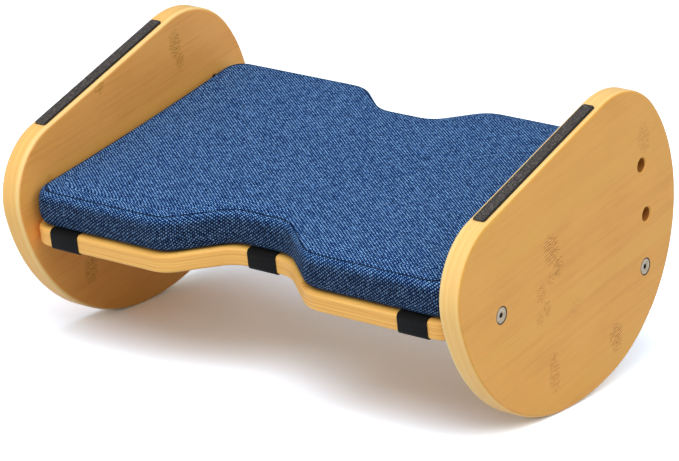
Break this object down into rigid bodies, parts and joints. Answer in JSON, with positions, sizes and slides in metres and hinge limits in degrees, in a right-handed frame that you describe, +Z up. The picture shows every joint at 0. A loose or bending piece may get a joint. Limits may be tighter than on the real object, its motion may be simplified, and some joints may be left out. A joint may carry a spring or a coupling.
{
  "type": "rocking footstool",
  "caption": "Rocking footstool: two curved bamboo side panels carry a waisted seat board with a strapped-on cushion, and rows of bolt holes set the slope of the seat.",
  "frame": {"origin": "floor point under the middle of the stool, standing at its balance", "axes": "+X along the stool from the left panel to the right, -Y its front, where the seat is low, +Z up"},
  "size_m": [0.436, 0.3093, 0.2406],
  "materials": {
    "bamboo": "satin lacquer over strip bamboo",
    "cover": "plain woven cloth",
    "foam": "cushion foam",
    "strap": "ribbed elastic webbing",
    "grip": "granular non-slip surface",
    "steel": "zinc-plated steel"
  },
  "bodies": {
    "stool": {"left_side_panel": "bamboo", "right_side_panel": "bamboo", "seat_board": "bamboo", "left_rear_cleat": "bamboo", "right_rear_cleat": "bamboo", "left_grip_strip": "grip", "right_grip_strip": "grip", "left_cross_nut": "steel", "right_cross_nut": "steel", "left_threaded_insert": "steel", "right_threaded_insert": "steel", "cleat_screws": "steel", "foam_core": "foam", "cushion_top_panel": "cover", "cushion_side_band": "cover", "cushion_base_panel": "cover", "left_strap": "strap", "centre_strap": "strap", "right_strap": "strap"},
    "left_front_bolt": {"left_front_bolt": "steel"},
    "right_front_bolt": {"right_front_bolt": "steel"},
    "left_rear_bolt": {"left_rear_bolt": "steel"},
    "right_rear_bolt": {"right_rear_bolt": "steel"}
  },
  "joints": [
    {"name": "left_front_bolt_draw", "type": "slide", "parent": "stool", "child": "left_front_bolt", "axis": [-1, 0, 0], "range_m": [0, 0.06]},
    {"name": "right_front_bolt_draw", "type": "slide", "parent": "stool", "child": "right_front_bolt", "axis": [1, 0, 0], "range_m": [0, 0.06]},
    {"name": "left_rear_bolt_draw", "type": "slide", "parent": "stool", "child": "left_rear_bolt", "axis": [-1, 0, 0], "range_m": [0, 0.031]},
    {"name": "right_rear_bolt_draw", "type": "slide", "parent": "stool", "child": "right_rear_bolt", "axis": [1, 0, 0], "range_m": [0, 0.031]}
  ]
}
